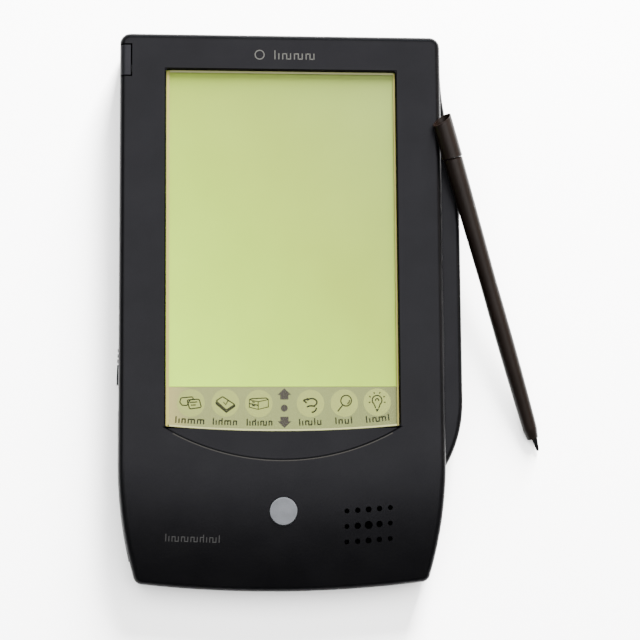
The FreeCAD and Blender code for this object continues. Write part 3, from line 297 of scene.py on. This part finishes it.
def spun_metal():
    """Satin metal with fine turning rings about the badge's own centre."""
    box_low, box_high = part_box("badge")
    centre = (box_low + box_high) / 2
    s = Shader("badge_metal", (0.075, 0.078, 0.084), 0.42, metallic=1.0)
    from_centre = s.add("Mapping", Vector=s.place, Location=tuple(-centre)).outputs["Vector"]
    rings = s.add("TexWave", Vector=from_centre, Scale=BAND_PERIOD / TURNING_PITCH)
    rings.wave_type = "RINGS"
    rings.rings_direction = "Z"
    dark, light = (0.066, 0.069, 0.074), (0.082, 0.085, 0.092)
    s.link(s.ramp(s.noise(3 * MM, 3), [(0.3, dark), (0.7, light)]), "Base Color")
    s.roughness(s.noise(2 * MM, 3), 0.38, 0.48)
    s.bump(rings.outputs["Fac"], 0.004 * MM)
    return s.material


MATERIALS = {
    "case_plastic": moulded("case_plastic", (0.0006, 0.0006, 0.0007), (0.0009, 0.0009, 0.001), SATIN,
                            specular=0.053, tint=SLATE),
    "bay_plastic": moulded("bay_plastic", (0.0006, 0.0006, 0.0007), (0.0009, 0.0009, 0.001), SATIN,
                           specular=0.053, tint=SLATE),
    "key_plastic": moulded("key_plastic", (0.0025, 0.0025, 0.003), (0.003, 0.003, 0.0035), SATIN,
                           specular=0.053, tint=SLATE),
    "grip_rubber": moulded("grip_rubber", (0.0016, 0.0016, 0.0018), (0.0022, 0.0022, 0.0024), 0.65,
                           grain=0.4 * MM),
    "foot_rubber": moulded("foot_rubber", (0.005, 0.005, 0.005), (0.007, 0.007, 0.007), 0.7,
                           grain=0.5 * MM),
    "stylus_plastic": moulded("stylus_plastic", (0.0024, 0.0014, 0.0010), (0.0032, 0.0019, 0.0014), 0.36,
                              grain=0.22 * MM, specular=0.08),
    "nib_plastic": moulded("nib_plastic", (0.0012, 0.0012, 0.0014), (0.0018, 0.0018, 0.002), 0.35),
    "inner_plastic": moulded("inner_plastic", (0.12, 0.12, 0.12), (0.15, 0.15, 0.15), 0.5),
    "gasket_foam": moulded("gasket_foam", (0.0006, 0.0006, 0.0007), (0.0011, 0.0011, 0.0013), 0.8,
                           grain=0.4 * MM, depth=0.04 * MM),
    "black_plastic": moulded("black_plastic", (0.0012, 0.0012, 0.0013), (0.0018, 0.0018, 0.002), 0.35),
    "chip_resin": moulded("chip_resin", (0.004, 0.004, 0.004), (0.006, 0.006, 0.006), 0.55),
    "cell_jacket": moulded("cell_jacket", (0.05, 0.055, 0.07), (0.06, 0.065, 0.08), 0.3),
    "flex_film": moulded("flex_film", (0.35, 0.15, 0.02), (0.4, 0.18, 0.03), 0.3),
    "steel": satin_metal("steel", (0.035, 0.036, 0.038), 0.35),
    "speaker_steel": satin_metal("speaker_steel", (0.04, 0.04, 0.042), 0.4),
    "reflector_foil": satin_metal("reflector_foil", (0.2, 0.21, 0.19), 0.4),
    "badge_metal": spun_metal(),
    "brass_gold": satin_metal("brass_gold", (0.2, 0.14, 0.05), 0.3),
    "lcd_green": lcd_green(),
    "strip_print": strip_print(),
    "touch_film": touch_film(),
    "infrared_acrylic": infrared_acrylic(),
    "circuit_board": circuit_board(),
    "mesh_cloth": mesh_cloth(),
}
INK = ink_and_painted_highlight("strip_ink", (0.0045, 0.0039, 0.0025))
# A painted highlight: a light colour on the crescent's rim that stands in for light caught on the recess
# edge
PAINTED_HIGHLIGHT = ink_and_painted_highlight("painted_edge_highlight", (0.0145, 0.0138, 0.0125))
ARROW_INK = ink_and_painted_highlight("arrow_ink", (0.0115, 0.0086, 0.0100))
SPOT_INK = ink_and_painted_highlight("spot_ink", (0.096, 0.107, 0.032))
EDGE_INK = ink_and_painted_highlight("edge_trace", (0.125, 0.112, 0.032))
BORDER_INK = ink_and_painted_highlight("film_border", (0.14, 0.14, 0.065))
MARK_INK = ink_and_painted_highlight("mark_ink", (0.032, 0.032, 0.029))
FAINT_INK = ink_and_painted_highlight("faint_ink", (0.0175, 0.0175, 0.0172))

for part in frame["record"]["subparts"]:
    mesh = NODES[part["node"]].data
    mesh.materials.clear()
    mesh.materials.append(MATERIALS[part["material_slot"]])


# ---- Printed marks and a painted highlight: thin raised ribbons and patches, laid out from above in millimetres ----

def add_piece(name, bm, material):
    """A mesh piece that rides on the case."""
    mesh = bpy.data.meshes.new(name)
    bmesh.ops.recalc_face_normals(bm, faces=bm.faces)
    bm.to_mesh(mesh)
    bm.free()
    mesh.materials.append(material)
    piece = bpy.data.objects.new(name, mesh)
    bpy.context.collection.objects.link(piece)
    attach(piece, "case")


def arc(x, y, radius, start, end, steps=12, flat=1.0):
    """Points along an arc, from one angle to another in degrees. flat squeezes it along y."""
    turns = [math.radians(start + (end - start) * i / steps) for i in range(steps + 1)]
    return [(x + radius * math.cos(t), y + radius * flat * math.sin(t)) for t in turns]


def rounded(corners, radius):
    """A closed outline through the corners, each rounded off."""
    points = []
    for i, corner in enumerate(corners):
        here = Vector(corner)
        before, after = Vector(corners[i - 1]), Vector(corners[(i + 1) % len(corners)])
        start = here + (before - here).normalized() * radius
        end = here + (after - here).normalized() * radius
        for step in range(CORNER_STEPS + 1):
            t = step / CORNER_STEPS
            points.append(tuple(start.lerp(here, t).lerp(here.lerp(end, t), t)))
    return points


def add_ribbon(bm, points, width, surface, closed=False, thickness=INK_LIFT):
    """A flat ribbon of even width along a line. surface gives the height under each point."""
    line = [Vector(p) for p in points]
    count = len(line)
    rows = []
    for i, point in enumerate(line):
        before = line[i - 1] if closed or i else point
        after = line[(i + 1) % count] if closed or i < count - 1 else point
        heading = ((point - before).normalized() + (after - point).normalized()).normalized()
        side = Vector((-heading.y, heading.x)) * width / 2
        row = []
        for lift in (0, thickness):
            for edge in (point - side, point + side):
                row.append(bm.verts.new((edge.x * MM, edge.y * MM, (surface(edge.x, edge.y) + lift) * MM)))
        rows.append(row)
    for i in range(count if closed else count - 1):
        a, b = rows[i], rows[(i + 1) % count]
        for p, q in ((0, 1), (1, 3), (3, 2), (2, 0)):
            bm.faces.new((a[p], a[q], b[q], b[p]))
    if not closed:
        for row in (rows[0], rows[-1]):
            bm.faces.new((row[0], row[1], row[3], row[2]))


def add_patch(bm, points, surface, thickness):
    """A flat filled outline."""
    rings = [[bm.verts.new((x * MM, y * MM, (surface(x, y) + lift) * MM)) for x, y in points]
             for lift in (0, thickness)]
    bm.faces.new(rings[0])
    bm.faces.new(rings[1])
    for i in range(len(points)):
        j = (i + 1) % len(points)
        bm.faces.new((rings[0][i], rings[0][j], rings[1][j], rings[1][i]))


def turned_about(points, x, y, angle):
    """Points about an origin, turned by an angle in degrees and moved to x, y."""
    c, s = math.cos(math.radians(angle)), math.sin(math.radians(angle))
    return [(x + px * c - py * s, y + px * s + py * c) for px, py in points]


FILM_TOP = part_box("touch_panel")[1].z / MM
STRIP_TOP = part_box("icon_strip")[1].z / MM


def film(x, y):
    return FILM_TOP


def strip(x, y):
    return STRIP_TOP


# Each pictogram is a list of (outline, closed) lines about its own centre, some 7 mm across
def cards():
    back = rounded([(-3.6, 0.3), (-3.2, 1.7), (0.4, 2.0), (0.9, 1.3), (-0.4, 0.9), (-1.2, -0.8),
                    (-2.9, -0.7)], 0.25)
    front = rounded([(-1.3, 1.0), (2.7, 1.25), (3.4, -1.4), (-0.4, -1.95)], 0.55)
    return [(back, True), (front, True), ([(-0.4, 0.2), (2.1, 0.36)], False),
            ([(0, -0.7), (1.6, -0.6)], False)]


def pad():
    page = rounded([(-0.9, 2.1), (3.0, -0.5), (0.3, -2.3), (-3.0, 0.7)], 0.3)
    under = [(-3.1, 0.3), (-3.0, -0.3), (0.3, -3.1), (3.1, -1.1), (3.0, -0.5)]
    leaves = [(-3.0, 0.1), (0.3, -2.7), (3.1, -0.8)]
    tick = [(-0.6, 0.3), (0.1, -0.6), (0.9, 0.9)]
    return [(page, True), (under, False), (leaves, False), (tick, False)]


def chest():
    body = [(-3.1, 1.2), (-0.2, 0.6), (-0.2, -1.9), (-3.1, -1.2)]
    side = [(-0.2, 0.6), (3.1, 1.3), (3.1, -1.1), (-0.2, -1.9)]
    lid = [(-3.1, 1.2), (-2.3, 1.6), (2.4, 1.8), (3.1, 1.3)]
    return [(body, True), (side, True), (lid, False), ([(-3.1, 0.0), (-0.2, -0.6)], False),
            ([(-2.2, 0.6), (-1.3, 0.4)], False), ([(-2.2, -0.6), (-1.3, -0.8)], False)]


def back_turn():
    loop = arc(0.4, 0.35, 1.7, 150, -60, 12, 0.75) + arc(0.2, -1.45, 1.5, 40, 160, 6, 0.45)
    tail = arc(0.0, -1.6, 1.9, 10, -80, 6, 0.7)
    return [(loop, False), (tail, False), ([(-2.4, 1.0), (-0.7, 1.6)], False),
            ([(-2.4, 1.0), (-1.2, 0.2)], False)]


def lens():
    return [(arc(0.6, 0.8, 1.75, 0, 345, 22), True), ([(-0.5, -0.6), (-2.2, -2.7)], False),
            (arc(0.6, 0.8, 1.1, -70, 10, 6), False)]


def lamp():
    bulb = [(-0.5, -2.0)] + arc(0, 0.6, 1.6, 232, -52, 18) + [(0.5, -2.0)]
    rays = [(turned_about([(2.3, 0), (2.9, 0)], 0, 0.6, angle), False) for angle in range(-15, 200, 42)]
    filament = arc(0, 0.6, 0.55, 200, -20, 6)
    return [(bulb, False), ([(-0.5, -2.45), (0.5, -2.35)], False), ([(-0.35, -2.9), (0.35, -2.8)], False),
            (filament, False), *rays]


# Each icon's name, centre, line width and lines
ICONS = [("cards", -29.9, -30.9, 0.40, cards), ("pad", -18.7, -30.9, 0.40, pad),
         ("chest", -7.8, -31.1, 0.40, chest), ("back_turn", 9.1, -31.1, 0.55, back_turn),
         ("lens", 20.2, -31.0, 0.44, lens), ("lamp", 31.0, -30.7, 0.42, lamp)]
ARROW = [(-2.3, -0.2), (0, 2.0), (2.3, -0.2), (1.35, -0.2), (1.35, -1.7), (-1.35, -1.7), (-1.35, -0.2)]
ARROWS = ((-28.1, 1), (-37.1, -1))


def icon_strip():
    """A round spot and a pictogram for each key, with the scroll arrows and dot between them."""
    for name, x, y, width, lines in ICONS:
        bm = bmesh.new()
        add_patch(bm, arc(x, y, SPOT_RADIUS, 0, 355, 42), strip, SPOT_LIFT)
        add_piece(f"{name}_spot", bm, SPOT_INK)
        bm = bmesh.new()
        for line, closed in lines():
            add_ribbon(bm, [(x + px, y + py) for px, py in line], width, strip, closed, ICON_LIFT)
        add_piece(f"{name}_icon", bm, INK)
    bm = bmesh.new()
    for y, up in ARROWS:
        add_patch(bm, [(ARROW_X + px, y + up * py) for px, py in ARROW], strip, STRIP_INK_LIFT)
    add_patch(bm, arc(*DOT, 0, 345, 23), strip, STRIP_INK_LIFT)
    add_piece("scroll_arrows", bm, ARROW_INK)


def word(x, y, width, height, pattern, angle):
    """Strokes in place of a printed word, centred at x: an upright for each letter of the pattern,
    a tall one at T, and one joined to the next at j."""
    pitch = width / (len(pattern) - 1)
    strokes = []
    for i, kind in enumerate(pattern):
        left = i * pitch - width / 2
        strokes.append([(left, 0), (left, height * (TALL if kind == "T" else 1))])
        if kind == "j":
            level = height * (0.92 if i % 3 else 0.08)
            strokes.append([(left, level), (left + pitch, level)])
    return [turned_about(stroke, x, y, angle) for stroke in strokes]


# Each caption's middle, width, pattern and slope
CAPTIONS = ((-30.3, -37.6, 9.0, "T.j.jj.jj.", -3), (-18.9, -38.1, 7.5, "T.jTjj.j.", -2),
            (-7.6, -38.3, 8.0, "T.jT.jj.j.", 0), (9.0, -38.2, 6.9, "T.jj.Tj.", 2),
            (20.0, -37.8, 5.1, "Tj.j.T", 3), (31.2, -37.1, 7.3, "T.jjjj.T", 6))


def captions():
    bm = bmesh.new()
    for x, y, width, pattern, angle in CAPTIONS:
        for stroke in word(x, y, width, CAPTION_HEIGHT, pattern, angle):
            add_ribbon(bm, stroke, CAPTION_WIDTH, strip, thickness=STRIP_INK_LIFT)
    add_piece("caption_strokes", bm, INK)


def film_traces():
    """The touch film's silvered edge traces down the window's sides, and its upper and lower borders."""
    bm = bmesh.new()
    for x, width in SIDE_TRACES:
        add_ribbon(bm, [(x, y) for y in TRACE_ENDS], width, film)
    add_piece("film_traces", bm, EDGE_INK)
    bm = bmesh.new()
    add_ribbon(bm, UPPER_BORDER, UPPER_BORDER_WIDTH, film)
    add_ribbon(bm, arc(*LOWER_BORDER), LOWER_BORDER_WIDTH, film)
    add_piece("film_borders", bm, BORDER_INK)


def face_height(x, y):
    """Height of the case's face at a point, in millimetres."""
    above = Vector((x * MM, y * MM, ABOVE_FACE * MM))
    place = NODES["front_cover"].ray_cast(above, Vector((0, 0, -1)))[1]
    return place.z / MM


def printed_marks():
    """Plain grey marks: a ring and a row of strokes above the window, and strokes at the lower left."""
    bm = bmesh.new()
    for stroke in word(*UPPER_WORD):
        add_ribbon(bm, stroke, UPPER_WIDTH, face_height)
    add_ribbon(bm, arc(*UPPER_RING), UPPER_WIDTH, face_height, closed=True)
    add_piece("upper_mark", bm, MARK_INK)
    bm = bmesh.new()
    for stroke in word(*LOWER_WORD):
        add_ribbon(bm, stroke, LOWER_WIDTH, face_height)
    add_piece("lower_mark", bm, FAINT_INK)


def crescent_painted_highlight():
    """A painted highlight along the rim of the crescent recess: a hair-thin light line along its arc,
    standing in for light caught on the edge.
    """
    bm = bmesh.new()
    add_ribbon(bm, arc(*CRESCENT), PAINTED_HIGHLIGHT_WIDTH, face_height, thickness=ICON_LIFT)
    add_piece("crescent_painted_highlight", bm, PAINTED_HIGHLIGHT)


icon_strip()
captions()
film_traces()
printed_marks()
crescent_painted_highlight()


# ---- Stage, light and camera ----

def floor():
    bm = bmesh.new()
    bmesh.ops.create_grid(bm, x_segments=8, y_segments=8, size=FLOOR_HALF)
    mesh = bpy.data.meshes.new("floor")
    bm.to_mesh(mesh)
    bm.free()
    plane = bpy.data.objects.new("floor", mesh)
    plane.location.z = cad_low.z - FLOOR_GAP
    bpy.context.collection.objects.link(plane)
    s = Shader("floor_paper", (0.97, 0.97, 0.97), 0.8, specular=0.1)
    s.bump(s.noise(1.2 * MM), 0.01 * MM)
    mesh.materials.append(s.material)


# Each light's name, direction from the origin, distance, size, power and colour
LIGHTS = (("overhead", (0, 0.22, 1), 1.3, (1.7, 1.2), 72, (1, 1, 1)),
          ("key", (0.25, 0.93, 0.42), 1.2, (0.35, 0.7), 245, (1, 0.99, 0.98)),
          ("rim", (0.1, 0.93, 0.4), 1.2, (0.5, 0.25), 4, (0.84, 0.93, 1)),
          ("side", (1, 0.25, 0.6), 1.2, (0.3, 0.3), 4, (1, 0.86, 0.72)))


def area_light(name, direction, distance, size, power, colour):
    """A rectangular light that faces the origin."""
    data = bpy.data.lights.new(name, "AREA")
    data.shape = "RECTANGLE"
    data.size, data.size_y = size
    data.energy = power
    data.color = colour
    lamp = bpy.data.objects.new(name, data)
    heading = Vector(direction).normalized()
    lamp.location = heading * distance
    lamp.rotation_euler = heading.to_track_quat("Z", "Y").to_euler()
    bpy.context.collection.objects.link(lamp)
    return lamp


def lights():
    world = bpy.data.worlds.new("studio")
    bpy.context.scene.world = world
    world.use_nodes = True
    world.node_tree.nodes["Background"].inputs["Color"].default_value = (1, 1, 1, 1)
    world.node_tree.nodes["Background"].inputs["Strength"].default_value = WORLD_LEVEL
    lamps = {light[0]: area_light(*light) for light in LIGHTS}
    lamps["key"].visible_glossy = False


def camera():
    data = bpy.data.cameras.new("camera")
    data.lens = CAMERA_LENS
    data.clip_start = CAMERA_CLIP
    view = bpy.data.objects.new("camera", data)
    view.location = CAMERA_PLACE
    view.rotation_euler = Euler(CAMERA_TURN, "XYZ")
    bpy.context.collection.objects.link(view)
    bpy.context.scene.camera = view


floor()
lights()
camera()
